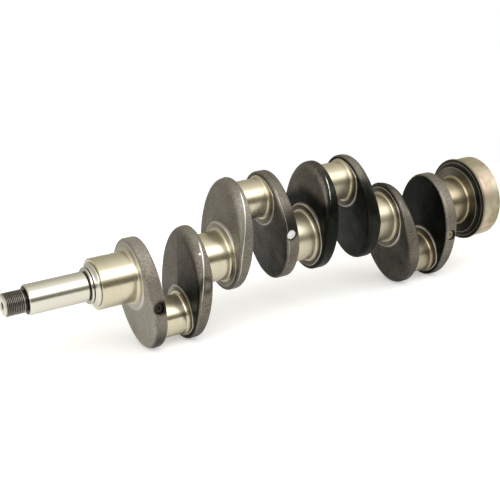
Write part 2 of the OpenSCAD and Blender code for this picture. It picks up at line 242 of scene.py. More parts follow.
class Wiring:
    """Adds nodes to a tree and joins them."""

    def __init__(self, tree):
        self.tree = tree

    def add(self, kind, inputs=None, **settings):
        """A new node with its settings, and its inputs joined or filled in."""
        node = self.tree.nodes.new(kind)
        for key, value in settings.items():
            setattr(node, key, value)
        for key, value in (inputs or {}).items():
            self.feed(node.inputs[key], value)
        return node

    def feed(self, socket, value):
        """Joins a socket to another, or sets its value. A colour may come without its alpha."""
        if isinstance(value, bpy.types.NodeSocket):
            self.tree.links.new(value, socket)
            return
        if socket.type == "RGBA" and len(value) == 3:
            value = (*value, 1)
        socket.default_value = value

    def math(self, operation, a, b=None, c=None, clamp=False):
        """A Math node's result."""
        node = self.add("ShaderNodeMath", operation=operation, use_clamp=clamp)
        for socket, value in zip(node.inputs, (a, b, c)):
            if value is not None:
                self.feed(socket, value)
        return node.outputs[0]

    def ramp(self, value, low, high, out_low=0.0, out_high=1.0, smooth=True):
        """Maps a value from one range to another, held at the ends."""
        node = self.add("ShaderNodeMapRange", clamp=True)
        node.interpolation_type = "SMOOTHSTEP" if smooth else "LINEAR"
        for key, item in zip(
            ("Value", "From Min", "From Max", "To Min", "To Max"),
            (value, low, high, out_low, out_high),
        ):
            self.feed(node.inputs[key], item)
        return node.outputs["Result"]

    def band(self, value, centre, half, soft):
        """1 within a half-width of a centre, fading to 0 over a soft margin."""
        away = self.math("ABSOLUTE", self.math("SUBTRACT", value, centre))
        return self.ramp(away, half, half + soft, 1.0, 0.0)

    def mix(self, factor, a, b):
        """A colour between two colours."""
        node = self.add("ShaderNodeMix", data_type="RGBA")
        for socket, item in zip((node.inputs[0], node.inputs[6], node.inputs[7]), (factor, a, b)):
            self.feed(socket, item)
        return node.outputs[2]

    def scaled(self, vector, scale):
        """A vector stretched along each axis."""
        node = self.add("ShaderNodeVectorMath", operation="MULTIPLY")
        self.feed(node.inputs[0], vector)
        self.feed(node.inputs[1], scale)
        return node.outputs[0]

    def noise(self, vector, scale, detail, roughness):
        """Noise texture's value."""
        values = {"Vector": vector, "Scale": scale, "Detail": detail, "Roughness": roughness}
        return self.add("ShaderNodeTexNoise", values).outputs[0]


def group_with(name, kind, inputs, outputs):
    """Makes a node group with named sockets, and returns its wiring, inputs and outputs."""
    tree = bpy.data.node_groups.new(name, kind)
    for socket, (data, default) in inputs.items():
        item = tree.interface.new_socket(socket, in_out="INPUT", socket_type="NodeSocket" + data)
        if default is not None:
            item.default_value = default
    for socket, data in outputs.items():
        tree.interface.new_socket(socket, in_out="OUTPUT", socket_type="NodeSocket" + data)
    w = Wiring(tree)
    return w, w.add("NodeGroupInput").outputs, w.add("NodeGroupOutput").inputs


# ---------------------------------------------------------------- geometry node trees

def ended(w, out, geometry, material):
    """Ends a tree in plain geometry with one material."""
    real = w.add("GeometryNodeRealizeInstances", {"Geometry": geometry})
    painted = w.add("GeometryNodeSetMaterial", {"Geometry": real.outputs[0], "Material": material})
    w.feed(out["Geometry"], painted.outputs[0])


def turned_tree():
    """Geometry nodes that spin a profile about the crank's line, with an optional thread.

    The profile is a row of points: X along the crank, Z out from the axis.
    """
    w, given, out = group_with(
        "turned_body",
        "GeometryNodeTree",
        {
            "Profile": ("Geometry", None),
            "Segments": ("Int", 160),
            "Axis Height": ("Float", 0.0),
            "Thread Start": ("Float", 0.0),
            "Thread End": ("Float", 0.0),
            "Thread Pitch": ("Float", 2 * MM),
            "Thread Depth": ("Float", 0.0),
            "Thread Floor": ("Float", 0.0),
            "Finish": ("Material", None),
        },
        {"Geometry": "Geometry"},
    )
    rows = w.add("GeometryNodeAttributeDomainSize", {"Geometry": given["Profile"]})
    around = w.math("ADD", given["Segments"], 1)
    grid = w.add(
        "GeometryNodeMeshGrid", {"Vertices X": rows.outputs["Point Count"], "Vertices Y": around}
    )
    index = w.add("GeometryNodeInputIndex").outputs[0]
    row = w.math("FLOOR", w.math("DIVIDE", w.math("ADD", index, 0.5), around))
    column = w.math("SUBTRACT", index, w.math("MULTIPLY", row, around))
    turn = w.math("DIVIDE", column, given["Segments"])
    sample = w.add("GeometryNodeSampleIndex", data_type="FLOAT_VECTOR", domain="POINT")
    place = w.add("GeometryNodeInputPosition").outputs[0]
    for socket in sample.inputs:
        if socket.name == "Geometry":
            w.feed(socket, given["Profile"])
        elif socket.name == "Value" and socket.enabled:
            w.feed(socket, place)
        elif socket.name == "Index":
            w.feed(socket, row)
    value = next(socket for socket in sample.outputs if socket.enabled)
    point = w.add("ShaderNodeSeparateXYZ", {0: value}).outputs
    # One V of the thread for each pitch, carried round by a full pitch in each turn
    flat = 0.14
    since_start = w.math("SUBTRACT", point["X"], given["Thread Start"])
    along = w.math("DIVIDE", since_start, given["Thread Pitch"])
    wave = w.math("FRACT", w.math("SUBTRACT", along, turn))
    valley = w.math("ABSOLUTE", w.math("MULTIPLY_ADD", wave, 2.0, -1.0))
    groove = w.ramp(valley, flat, 1 - flat, smooth=False)
    lead = w.math("MULTIPLY", given["Thread Pitch"], 0.9)
    run_in = w.math("DIVIDE", since_start, lead, clamp=True)
    to_end = w.math("SUBTRACT", given["Thread End"], point["X"])
    run_out = w.math("DIVIDE", to_end, lead, clamp=True)
    outside = w.math("GREATER_THAN", point["Z"], given["Thread Floor"])
    shown = w.math("MULTIPLY", groove, outside)
    cut = w.math("MULTIPLY", shown, w.math("MULTIPLY", run_in, run_out))
    radius = w.math("SUBTRACT", point["Z"], w.math("MULTIPLY", cut, given["Thread Depth"]))
    angle = w.math("MULTIPLY", turn, math.tau)
    spun = w.add(
        "ShaderNodeCombineXYZ",
        {
            "X": point["X"],
            "Y": w.math("MULTIPLY", radius, w.math("SINE", angle)),
            "Z": w.math("MULTIPLY_ADD", radius, w.math("COSINE", angle), given["Axis Height"]),
        },
    )
    shaped = w.add(
        "GeometryNodeSetPosition", {"Geometry": grid.outputs["Mesh"], "Position": spun.outputs[0]}
    )
    closed = w.add("GeometryNodeMergeByDistance", {"Geometry": shaped.outputs[0], "Distance": 1e-6})
    ended(w, out, closed.outputs[0], given["Finish"])


def bolt_tree():
    """Geometry nodes that stand one drill on each point of a bolt circle."""
    w, given, out = group_with(
        "bolt_circle",
        "GeometryNodeTree",
        {
            "Drill": ("Geometry", None),
            "Count": ("Int", 6),
            "Circle Radius": ("Float", 38 * MM),
            "Finish": ("Material", None),
        },
        {"Geometry": "Geometry"},
    )
    index = w.add("GeometryNodeInputIndex").outputs[0]
    turn = w.math("DIVIDE", w.math("ADD", index, 0.5), given["Count"])
    angle = w.math("MULTIPLY", turn, math.tau)
    place = w.add(
        "ShaderNodeCombineXYZ",
        {
            "Y": w.math("MULTIPLY", given["Circle Radius"], w.math("SINE", angle)),
            "Z": w.math("MULTIPLY", given["Circle Radius"], w.math("COSINE", angle)),
        },
    )
    points = w.add("GeometryNodePoints", {"Count": given["Count"], "Position": place.outputs[0]})
    stood = w.add(
        "GeometryNodeInstanceOnPoints", {"Points": points.outputs[0], "Instance": given["Drill"]}
    )
    ended(w, out, stood.outputs[0], given["Finish"])


def linked(name, data):
    """A new object in the scene."""
    obj = bpy.data.objects.new(name, data)
    bpy.context.scene.collection.objects.link(obj)
    return obj


def plain_mesh(obj):
    """The mesh that an object's modifiers make."""
    depsgraph = bpy.context.evaluated_depsgraph_get()
    return bpy.data.meshes.new_from_object(obj.evaluated_get(depsgraph), depsgraph=depsgraph)


def grown(tree, mesh, values):
    """Runs a geometry node tree on a mesh and returns the plain mesh that it makes."""
    seed = linked("seed", mesh)
    modifier = seed.modifiers.new("grow", "NODES")
    modifier.node_group = tree
    for item in tree.interface.items_tree:
        if item.item_type == "SOCKET" and item.in_out == "INPUT" and item.name in values:
            modifier[item.identifier] = values[item.name]
    result = plain_mesh(seed)
    bpy.data.objects.remove(seed)
    return result


# ---------------------------------------------------------------- mesh work

def refined(points, step):
    """Adds points so that no stretch of a profile is longer than a step."""
    fine = [points[0]]
    for start, end in zip(points, points[1:]):
        span = math.dist(start, end)
        parts = max(1, math.ceil(span / step - 1e-6))
        for i in range(1, parts + 1):
            t = i / parts
            fine.append((start[0] + t * (end[0] - start[0]), start[1] + t * (end[1] - start[1])))
    return fine


def softened(points, radius, steps=3):
    """Rounds each inner corner of a profile, as a turner breaks the edges."""
    soft = [points[0]]
    for before, corner, after in zip(points, points[1:], points[2:]):
        a, b, c = Vector(before), Vector(corner), Vector(after)
        reach = min(radius, (a - b).length * 0.45, (c - b).length * 0.45)
        start = b + (a - b).normalized() * reach
        end = b + (c - b).normalized() * reach
        for i in range(steps + 1):
            t = i / steps
            soft.append(tuple(start * (1 - t) ** 2 + b * 2 * t * (1 - t) + end * t ** 2))
    soft.append(points[-1])
    return soft


def facing_out(mesh):
    """Closes the seams and turns the faces outwards."""
    work = bmesh.new()
    work.from_mesh(mesh)
    bmesh.ops.remove_doubles(work, verts=work.verts, dist=2e-6)
    bmesh.ops.dissolve_degenerate(work, edges=work.edges, dist=1e-7)
    bmesh.ops.recalc_face_normals(work, faces=work.faces)
    work.to_mesh(mesh)
    work.free()
    return mesh


def turned(profile, finish, segments, height=0.0, step=3 * MM, thread=None):
    """A closed turned mesh in a named finish, from a profile of (x, radius) points."""
    points = [(x, 0, r) for x, r in refined(profile, step)]
    row = bpy.data.meshes.new("profile")
    row.from_pydata(points, [(i, i + 1) for i in range(len(points) - 1)], [])
    values = {"Segments": segments, "Axis Height": height, "Finish": FINISHES[finish]}
    values.update(thread or {})
    return facing_out(grown(bpy.data.node_groups["turned_body"], row, values))


def carved(mesh, tool, operation="DIFFERENCE"):
    """The mesh cut by, joined with, or limited to a tool, which keeps its own finish."""
    body = linked("body", mesh)
    cutter = linked("tool", tool)
    modifier = body.modifiers.new("cut", "BOOLEAN")
    modifier.operation = operation
    modifier.solver = "EXACT"
    modifier.material_mode = "TRANSFER"
    modifier.object = cutter
    result = plain_mesh(body)
    for obj in (body, cutter):
        bpy.data.objects.remove(obj)
    if not result.polygons:
        raise RuntimeError(f"a {operation.lower()} left nothing of {mesh.name}")
    return result


def joined(*meshes):
    """Several meshes as one, each face keeping its finish."""
    work = bmesh.new()
    finishes = []
    for mesh in meshes:
        before = len(work.faces)
        offset = len(finishes)
        finishes.extend(mesh.materials)
        work.from_mesh(mesh)
        work.faces.ensure_lookup_table()
        for face in work.faces[before:]:
            face.material_index += offset
    result = bpy.data.meshes.new("joined")
    for finish in finishes:
        result.materials.append(finish)
    work.to_mesh(result)
    work.free()
    return result


def mesh_of(work, name, finish):
    """The mesh of a finished bmesh, in one finish."""
    mesh = bpy.data.meshes.new(name)
    work.to_mesh(mesh)
    work.free()
    mesh.materials.append(FINISHES[finish])
    return mesh


def finish_piece(name, mesh, node, angle=30):
    """Makes a piece of a mesh, smooth up to a number of degrees, in place of its CAD node."""
    facing_out(mesh)
    mesh.name = name
    mesh.shade_smooth()
    mesh.set_sharp_from_angle(angle=math.radians(angle))
    piece = linked(name, mesh)
    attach(piece, "root")
    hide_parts(node)
    return piece


# ---------------------------------------------------------------- shared shader groups

def turning_marks():
    """Fine rings left by turning or grinding: a height, and patches where they dull the metal."""
    w, given, out = group_with(
        "turning_marks",
        "ShaderNodeTree",
        {"Vector": ("Vector", None), "Rings per Metre": ("Float", 2500.0)},
        {"Height": "Float", "Patches": "Float"},
    )
    stretch = w.add("ShaderNodeCombineXYZ", {"X": given["Rings per Metre"], "Y": 24.0, "Z": 24.0})
    rings = w.noise(w.scaled(given["Vector"], stretch.outputs[0]), 1.0, 4.0, 0.6)
    patches = w.noise(given["Vector"], 40.0, 4.0, 0.55)
    streaks = w.noise(w.scaled(given["Vector"], (220.0, 12.0, 12.0)), 1.0, 3.0, 0.5)
    both = w.math("MULTIPLY_ADD", streaks, 0.5, w.math("MULTIPLY", patches, 0.5))
    w.feed(out["Height"], rings)
    w.feed(out["Patches"], w.ramp(both, 0.35, 0.68))


def forged_skin():
    """Shot-blasted forged skin: speckle, broad scale patches and a height."""
    w, given, out = group_with(
        "forged_skin",
        "ShaderNodeTree",
        {"Vector": ("Vector", None), "Grain": ("Float", 900.0)},
        {"Speckle": "Float", "Scale": "Float", "Height": "Float"},
    )
    grain = w.noise(given["Vector"], given["Grain"], 3.0, 0.65)
    pits = w.add(
        "ShaderNodeTexVoronoi",
        {"Vector": given["Vector"], "Scale": w.math("MULTIPLY", given["Grain"], 0.55)},
    ).outputs["Distance"]
    broad = w.noise(given["Vector"], 28.0, 5.0, 0.6)
    streaks = w.noise(w.scaled(given["Vector"], (90.0, 60.0, 14.0)), 1.0, 4.0, 0.6)
    both = w.math("MULTIPLY_ADD", streaks, 0.4, w.math("MULTIPLY", broad, 0.6))
    w.feed(out["Speckle"], w.ramp(grain, 0.36, 0.66))
    w.feed(out["Scale"], w.ramp(both, 0.38, 0.62))
    w.feed(out["Height"], w.math("MULTIPLY_ADD", pits, 0.5, w.math("MULTIPLY", grain, 0.6)))


def broken_mask():
    """A mask eaten away by noise, for worn edges and patches of oil."""
    w, given, out = group_with(
        "broken_mask",
        "ShaderNodeTree",
        {
            "Vector": ("Vector", None),
            "Amount": ("Float", 0.5),
            "Break-up Scale": ("Float", 120.0),
            "Softness": ("Float", 0.25),
        },
        {"Mask": "Float"},
    )
    wobble = w.noise(given["Vector"], given["Break-up Scale"], 4.0, 0.6)
    pushed = w.math("ADD", given["Amount"], w.math("MULTIPLY_ADD", wobble, 0.6, -0.3))
    low = w.math("SUBTRACT", 0.5, given["Softness"])
    high = w.math("ADD", 0.5, given["Softness"])
    w.feed(out["Mask"], w.ramp(pushed, low, high))


# ---------------------------------------------------------------- finishes

class Finish(Wiring):
    """A material's wiring, with its shader and the object's own coordinates."""

    def __init__(self, name, values):
        self.material = bpy.data.materials.new(name)
        self.material.use_nodes = True
        self.material.node_tree.nodes.clear()
        super().__init__(self.material.node_tree)
        principled = self.add("ShaderNodeBsdfPrincipled", values)
        self.add("ShaderNodeOutputMaterial", {"Surface": principled.outputs[0]})
        self.shader = principled.inputs
        self.place = self.add("ShaderNodeTexCoord").outputs["Object"]

    def placed(self, name, values):
        """The outputs of a shared group, set on the object's own coordinates."""
        tree = bpy.data.node_groups[name]
        values = {"Vector": self.place, **values}
        return self.add("ShaderNodeGroup", values, node_tree=tree).outputs

    def rings(self, per_metre):
        """The height of turning marks, and the patches where they dull the metal."""
        marks = self.placed("turning_marks", {"Rings per Metre": per_metre})
        return marks["Height"], marks["Patches"]

    def painted(self, name):
        """A tone written on a web's points."""
        return self.add("ShaderNodeAttribute", attribute_name=name).outputs["Fac"]

    def broken(self, name, scale, softness):
        """A painted tone eaten away at its edges."""
        values = {"Amount": self.painted(name), "Break-up Scale": scale, "Softness": softness}
        return self.placed("broken_mask", values)["Mask"]

    def axes(self):
        """Distance along the crank, distance out from its line, and height."""
        x, y, z = self.add("ShaderNodeSeparateXYZ", {0: self.place}).outputs
        out = self.math("SQRT", self.math("MULTIPLY_ADD", y, y, self.math("MULTIPLY", z, z)))
        return x, out, z

    def done(self, tint, rough, height, strength, depth=0.02 * MM):
        """The material, once its shader has a colour, a roughness and a bump."""
        values = {"Height": height, "Strength": strength, "Distance": depth}
        bump = self.add("ShaderNodeBump", values).outputs[0]
        for socket, value in (("Base Color", tint), ("Roughness", rough), ("Normal", bump)):
            self.feed(self.shader[socket], value)
        return self.material


def darker(tint, share_left):
    """A colour with a share of its brightness left."""
    return tuple(c * share_left for c in tint)


def turned_finish(name, tint, rough):
    """Bright turned steel with rings and faint darker patches. Given the dark scale colour, it
    paints the shade inside bores.
    """
    w = Finish(name, {"Metallic": 1.0})
    height, patches = w.rings(900.0)
    shown = w.mix(w.math("MULTIPLY", patches, 0.14), tint, darker(tint, 0.72))
    return w.done(shown, w.math("MULTIPLY_ADD", patches, 0.06, rough), height, 0.25)


def journal_finish():
    """Ground journals, bright at the nose end, browned by old oil towards the flange."""
    w = Finish("ground_journal", {"Metallic": 1.0})
    tint = colours()
    height, patches = w.rings(2600.0)
    x, _, _ = w.axes()
    aft = w.ramp(x, -0.17, 0.08)
    last = w.ramp(x, 0.13, 0.22)
    film = w.math("MULTIPLY_ADD", patches, 0.16, w.math("MULTIPLY", aft, 0.3))
    film = w.math("MULTIPLY_ADD", last, 0.7, film, clamp=True)
    rough = w.math("MULTIPLY_ADD", patches, 0.07, 0.165)
    rough = w.math("MULTIPLY_ADD", last, -0.07, rough)
    rough = w.math("MULTIPLY_ADD", aft, 0.18, rough)
    return w.done(w.mix(film, tint.journal, tint.browned), rough, height, 0.25)


def thread_finish():
    """Nose thread: dull crests and painted shade in the grooves, behind a clean end face with
    painted shade in its centre hole.
    """
    w = Finish("cut_thread", {"Metallic": 1.0})
    tint = colours()
    low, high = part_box("nose_thread")
    x, out, _ = w.axes()
    height, patches = w.rings(3000.0)
    clean_end = w.ramp(x, low.x + 0.5 * MM, low.x + 1.4 * MM, 1.0, 0.0)
    crest = w.ramp(out, high.z - sizes().thread_depth, high.z - 0.15 * MM)
    # Painted shade: the thread's grooves are darker than its crests
    groove = w.mix(crest, darker(tint.scale, 0.35), tint.thread)
    smudged = w.mix(w.math("MULTIPLY", patches, 0.5), groove, tint.scale)
    # Painted shade in the centre hole of the end face
    hole_shade_fade = w.ramp(out, 3.4 * MM, 4.8 * MM)
    face = w.mix(hole_shade_fade, darker(tint.scale, 0.3), tint.nose)
    shown = w.mix(clean_end, smudged, face)
    return w.done(shown, w.math("MULTIPLY_ADD", patches, 0.12, 0.3), height, 0.3)


def collar_finish(name, shade_rings_at):
    """Turned nose steel with dark rings of painted shade in its grooves and at its steps, at given
    places along the crank.
    """
    w = Finish(name, {"Metallic": 1.0})
    tint = colours()
    x, _, _ = w.axes()
    height, patches = w.rings(1500.0)
    # Painted shade: dark rings in the grooves and at the steps
    groove_shade = 0.0
    for centre, half in shade_rings_at:
        groove_shade = w.math("MAXIMUM", groove_shade, w.band(x, centre, half, 0.35 * MM))
    clean = w.mix(w.math("MULTIPLY", patches, 0.2), tint.nose, tint.journal)
    rough = w.math("MULTIPLY_ADD", patches, 0.06, 0.17)
    rough = w.math("MULTIPLY_ADD", groove_shade, 0.2, rough)
    return w.done(w.mix(groove_shade, clean, darker(tint.scale, 0.4)), rough, height, 0.45)


def rear_ring_finish():
    """Brown turned ring with painted shade on its lower part, whose outer slope is black with oil.
    """
    w = Finish("rear_ring", {"Metallic": 0.9})
    tint = colours()
    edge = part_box("rear_cheek")[1].z
    _, out, up = w.axes()
    height, patches = w.rings(1000.0)
    brown = w.mix(patches, darker(tint.cheek, 0.5), darker(tint.scale, 0.7))
    # Painted shade: the ring is darkened towards its bottom
    brown = w.mix(w.ramp(up, -25 * MM, 10 * MM, 0.85, 0.0), brown, darker(tint.scale, 0.25))
    lined = w.mix(w.band(out, edge - 2.6 * MM, 0.2 * MM, 0.3 * MM), brown, tint.cheek)
    shown = w.mix(w.ramp(out, edge - 2.3 * MM, edge - 1.6 * MM), lined, tint.oil)
    return w.done(shown, w.math("MULTIPLY_ADD", patches, 0.1, 0.27), height, 0.5)


def cheek_finish():
    """Turned ring beside a journal, browned by oil and painted shade, with a bright bevelled edge
    of wear and painted highlight.
    """
    w = Finish("machined_cheek", {"Metallic": 0.9})
    tint = colours()
    skin = w.placed("forged_skin", {"Grain": 500.0})
    # The oil layer holds oil and painted shade; the edge layer holds wear and painted highlight
    film = w.broken("oil", 70.0, 0.25)
    worn = w.broken("edge", 110.0, 0.4)
    clean = w.mix(w.math("MULTIPLY", skin["Scale"], 0.6), tint.cheek, tint.forged)
    pale = w.mix(w.math("MULTIPLY", w.painted("pale"), 0.35), clean, tint.bright)
    brown = w.mix(w.math("MULTIPLY", film, 0.85), pale, darker(tint.scale, 0.7))
    shown = w.mix(w.math("MULTIPLY", worn, 0.75), brown, tint.bright)
    rough = w.math("MULTIPLY_ADD", skin["Scale"], 0.1, 0.3)
    return w.done(shown, rough, skin["Height"], 0.12, 0.04 * MM)


def forged_finish():
    """Forged skin: brown-grey speckle, scale, dark oil with painted shade, and bright edges of wear
    and painted highlight.
    """
    w = Finish("forged_web", {"Metallic": 0.65})
    tint = colours()
    skin = w.placed("forged_skin", {"Grain": 520.0})
    # The oil layer holds oil and painted shade; the edge layer holds wear and painted highlight
    film = w.broken("oil", 45.0, 0.5)
    worn = w.broken("edge", 130.0, 0.22)
    pale = w.painted("pale")
    tone = w.math("MULTIPLY_ADD", skin["Speckle"], 0.62, w.math("MULTIPLY", skin["Scale"], 0.36))
    ground = w.mix(pale, tint.forged, tint.pale)
    bare = w.mix(tone, ground, w.mix(pale, tint.scale, tint.forged))
    shown = w.mix(worn, w.mix(film, bare, tint.oil), tint.bright)
    w.feed(w.shader["Metallic"], w.math("MULTIPLY_ADD", film, 0.25, 0.65))
    rough = w.math("MULTIPLY_ADD", skin["Speckle"], 0.14, 0.42)
    rough = w.math("MULTIPLY_ADD", film, -0.14, rough)
    rough = w.math("MULTIPLY_ADD", worn, -0.1, rough)
    return w.done(shown, rough, skin["Height"], 0.5, 0.13 * MM)


def flange_finish():
    """Satin seal land with wide warm and olive patches."""
    w = Finish("satin_flange", {"Metallic": 1.0})
    tint = colours()
    height, _ = w.rings(1300.0)
    wide = w.ramp(w.noise(w.place, 26.0, 3.0, 0.55), 0.38, 0.58)
    pools = w.ramp(w.noise(w.scaled(w.place, (1.0, 1.3, 0.8)), 38.0, 3.0, 0.55), 0.42, 0.68)
    warm = w.mix(wide, tint.flange, tint.blush)
    shown = w.mix(w.math("MULTIPLY", pools, 0.9), warm, tint.stain)
    return w.done(shown, w.math("MULTIPLY_ADD", pools, 0.1, 0.47), height, 0.5)


def black_finish(name, lines_at=()):
    """Oily dark steel, with thin bright lines at given distances from the crank's line. On the
    sunken plugs this black is painted shade inside their drillings.
    """
    w = Finish(name, {"Metallic": 0.6})
    tint = colours()
    _, out, _ = w.axes()
    height, patches = w.rings(1500.0)
    shown = w.mix(patches, tint.oil, darker(tint.scale, 0.32))
    for radius in lines_at:
        shown = w.mix(w.band(out, radius, 0.15 * MM, 0.3 * MM), shown, tint.cheek)
    return w.done(shown, w.math("MULTIPLY_ADD", patches, 0.14, 0.26), height, 0.3)


def make_finishes():
    """Makes every finish and keeps it by name."""
    tint = colours()
    seat_low, seat_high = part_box("nose_seat")
    collar_low, collar_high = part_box("nose_shoulder")
    disc_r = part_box("rear_oil_flinger")[1].z
    # Rings of painted shade in the nose's grooves and at its steps
    seat_shade_rings = ((seat_low.x + 0.1 * MM, 0.15 * MM), (seat_high.x - 0.7 * MM, 0.5 * MM))
    collar_shade_rings = (
        (collar_low.x - 0.27 * MM, 0.1 * MM),
        (collar_low.x + 2.8 * MM, 0.5 * MM),
        (collar_high.x - 0.3 * MM, 0.1 * MM),
    )
    FINISHES.update({
        "journal": journal_finish(),
        "shoulder": collar_finish("grooved_shoulder", collar_shade_rings),
        "nose": collar_finish("turned_nose", seat_shade_rings),
        "thread": thread_finish(),
        "cheek": cheek_finish(),
        "forged": forged_finish(),
        "ring": rear_ring_finish(),
        "black": black_finish("oily_black", (disc_r - 4.6 * MM, disc_r - 0.3 * MM)),
        # The sunken plugs are painted black as the shade inside their drillings
        "sunken": black_finish("plug_in_painted_shade"),
        "flange": flange_finish(),
        "plug": turned_finish("bright_plug", tint.plug, 0.3),
        # Bores take the dark scale colour as painted shade inside the holes
        "bore": turned_finish("bore_in_painted_shade", tint.scale, 0.4),
    })


# ---------------------------------------------------------------- turned pieces

def corner_arc(radius, fillet):
    """Points of the corner radius at a journal's end, from the journal out to its cheek."""
    arc = []
    steps = 10
    for i in range(steps + 1):
        t = math.radians(90 * i / steps)
        x = CHEEK_X - fillet + fillet * math.sin(t)
        arc.append((x, radius + fillet * (1 - math.cos(t))))
    return arc


def journal_profile(centre, radius, fillet):
    """A journal between two cheeks."""
    right = corner_arc(radius, fillet)
    left = [(-x, r) for x, r in reversed(right)]
    points = [(-CHEEK_X, 0), *left, *right, (CHEEK_X, 0)]
    return [(centre + x, r) for x, r in points]


def oil_drill(radius):
    """Cutting tool for a radial oil hole, standing along +X from the journal's axis."""
    size = sizes()
    past = 8 * MM
    hole = size.oil_hole / 2
    mouth = size.oil_mouth / 2
    slope = mouth - hole
    points = [
        (-past, 0),
        (-past, hole),
        (radius - slope * 1.3, hole),
        (radius - slope * 0.5, hole + slope * 0.45),
        (radius, mouth),
        (radius + slope, mouth + slope),
        (radius + slope, 0),
    ]
    return turned(points, "bore", segments=40, step=8 * MM)


def drilled(mesh, tool, place):
    """The mesh with a tool's hole cut at a place."""
    tool.transform(place)
    return carved(mesh, facing_out(tool))


def pointing(direction, at):
    """Turns +X towards a direction and moves it to a point."""
    turn = Vector((1, 0, 0)).rotation_difference(Vector(direction)).to_matrix().to_4x4()
    return Matrix.Translation(at) @ turn


MAIN_OIL_TURN = math.radians(16)
PIN_OIL_TURN = math.radians(50)


def build_main_journal(i):
    """Ground main journal i with its oil hole."""
    fillet = sizes().fillet
    radius = half_size("main_journal_3").y - fillet
    if i == 1:
        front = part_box("main_journal_1")[0].x
        bevel = 0.9 * MM
        points = [(front, 0), (front, radius - bevel), (front + bevel, radius), (main_x(1), radius)]
        points = softened(points, 0.4 * MM)
        tail = [(main_x(1) + x, r) for x, r in corner_arc(radius, fillet)]
        points = points + tail + [(main_x(1) + CHEEK_X, 0)]
    else:
        points = journal_profile(main_x(i), radius, fillet)
    mesh = turned(points, "journal", segments=192)
    way = (0, math.sin(MAIN_OIL_TURN), math.cos(MAIN_OIL_TURN))
    mesh = drilled(mesh, oil_drill(radius), pointing(way, (main_x(i), 0, 0)))
    finish_piece(f"ground_main_{i}", mesh, f"main_journal_{i}")


def build_crankpin(j):
    """Ground crankpin j with its oil hole on the far side."""
    fillet = sizes().fillet
    radius = half_size("crankpin_2").y - fillet
    height = throw_sign(j) * THROW
    points = journal_profile(pin_x(j), radius, fillet)
    mesh = turned(points, "journal", segments=176, height=height)
    way = (0, math.sin(PIN_OIL_TURN), throw_sign(j) * math.cos(PIN_OIL_TURN))
    mesh = drilled(mesh, oil_drill(radius), pointing(way, (pin_x(j), 0, height)))
    finish_piece(f"ground_pin_{j}", mesh, f"crankpin_{j}")


def build_nose_thread():
    """Threaded tip with its relief neck and centre hole."""
    size = sizes()
    low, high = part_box("nose_thread")
    crest = high.z
    neck = crest - size.thread_depth - 0.5 * MM
    tip_bevel = 1.6 * MM
    thread_end = high.x - 3.5 * MM
    points = [
        (low.x + 9 * MM, 0),
        (low.x + 8.4 * MM, 1.6 * MM),
        (low.x + 4.85 * MM, 1.6 * MM),
        (low.x + 0.4 * MM, 4.2 * MM),
        (low.x, 4.8 * MM),
        (low.x, crest - tip_bevel - 0.4 * MM),
        (low.x + 0.3 * MM, crest - tip_bevel),
        (low.x + tip_bevel, crest - 0.1 * MM),
        (low.x + tip_bevel + 0.3 * MM, crest),
    ]
    stretch = refined([points[-1], (thread_end, crest)], size.thread_pitch / 14)
    points += stretch[1:]
    points += [(thread_end + 0.9 * MM, neck), (high.x, neck), (high.x, 0)]
    mesh = turned(
        points, "thread", segments=128,
        thread={
            "Thread Start": low.x + 1.0 * MM,
            "Thread End": thread_end + 0.2 * MM,
            "Thread Pitch": size.thread_pitch,
            "Thread Depth": size.thread_depth,
            "Thread Floor": neck,
        },
    )
    finish_piece("nose_thread_cut", mesh, "nose_thread", angle=40)


def build_nose_seat():
    """Ground seat of the nose, with a half-moon key seat on the far side."""
    low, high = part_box("nose_seat")
    r = high.z
    bevel = 2 * MM
    relief = 0.8 * MM
    points = [
        (low.x, 0),
        (low.x, r - bevel),
        (low.x + bevel * 0.8, r),
        (high.x - 2.0 * MM, r),
        (high.x - 1.6 * MM, r - relief),
        (high.x, r - relief),
        (high.x, 0),
    ]
    mesh = turned(softened(points, 0.35 * MM), "nose", segments=192)
    key_r = 11 * MM
    key_w = 6 * MM
    key_depth = 7.5 * MM
    turn = math.radians(118)
    out = Vector((0, math.sin(turn), math.cos(turn)))
    across = Vector((0, math.cos(turn), -math.sin(turn)))
    centre = Vector((low.x + 0.62 * (high.x - low.x), 0, 0)) + out * (r + key_r - key_depth)
    cutter = [(-key_w / 2, 0), (-key_w / 2, key_r), (key_w / 2, key_r), (key_w / 2, 0)]
    mesh = drilled(mesh, turned(cutter, "bore", segments=96), pointing(across, centre))
    finish_piece("turned_seat", mesh, "nose_seat")


def build_nose_shoulder():
    """Grooved shoulder, then a cone up to the first main journal's face."""
    low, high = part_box("nose_shoulder")
    r = half_size("nose_seat").z + 4 * MM
    collar = high.z
    points = [
        (low.x, 0),
        (low.x, r - 0.8 * MM),
        (low.x + 0.8 * MM, r),
        (low.x + 2.0 * MM, r),
        (low.x + 2.5 * MM, r - 1.4 * MM),
        (low.x + 3.1 * MM, r - 1.4 * MM),
        (low.x + 3.6 * MM, r),
        (low.x + 5.0 * MM, r + 0.6 * MM),
        (high.x - 1.2 * MM, collar),
        (high.x, collar),
        (high.x, 0),
    ]
    mesh = turned(softened(points, 0.25 * MM), "shoulder", segments=192)
    finish_piece("turned_shoulder", mesh, "nose_shoulder")


def build_rear_ring():
    """Machined ring behind the last main journal."""
    low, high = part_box("rear_cheek")
    r = high.z
    points = [(low.x, 0), (low.x, r - 2.4 * MM), (high.x, r), (high.x, 0)]
    mesh = turned(softened(points, 0.4 * MM), "ring", segments=192)
    finish_piece("rear_ring", mesh, "rear_cheek")


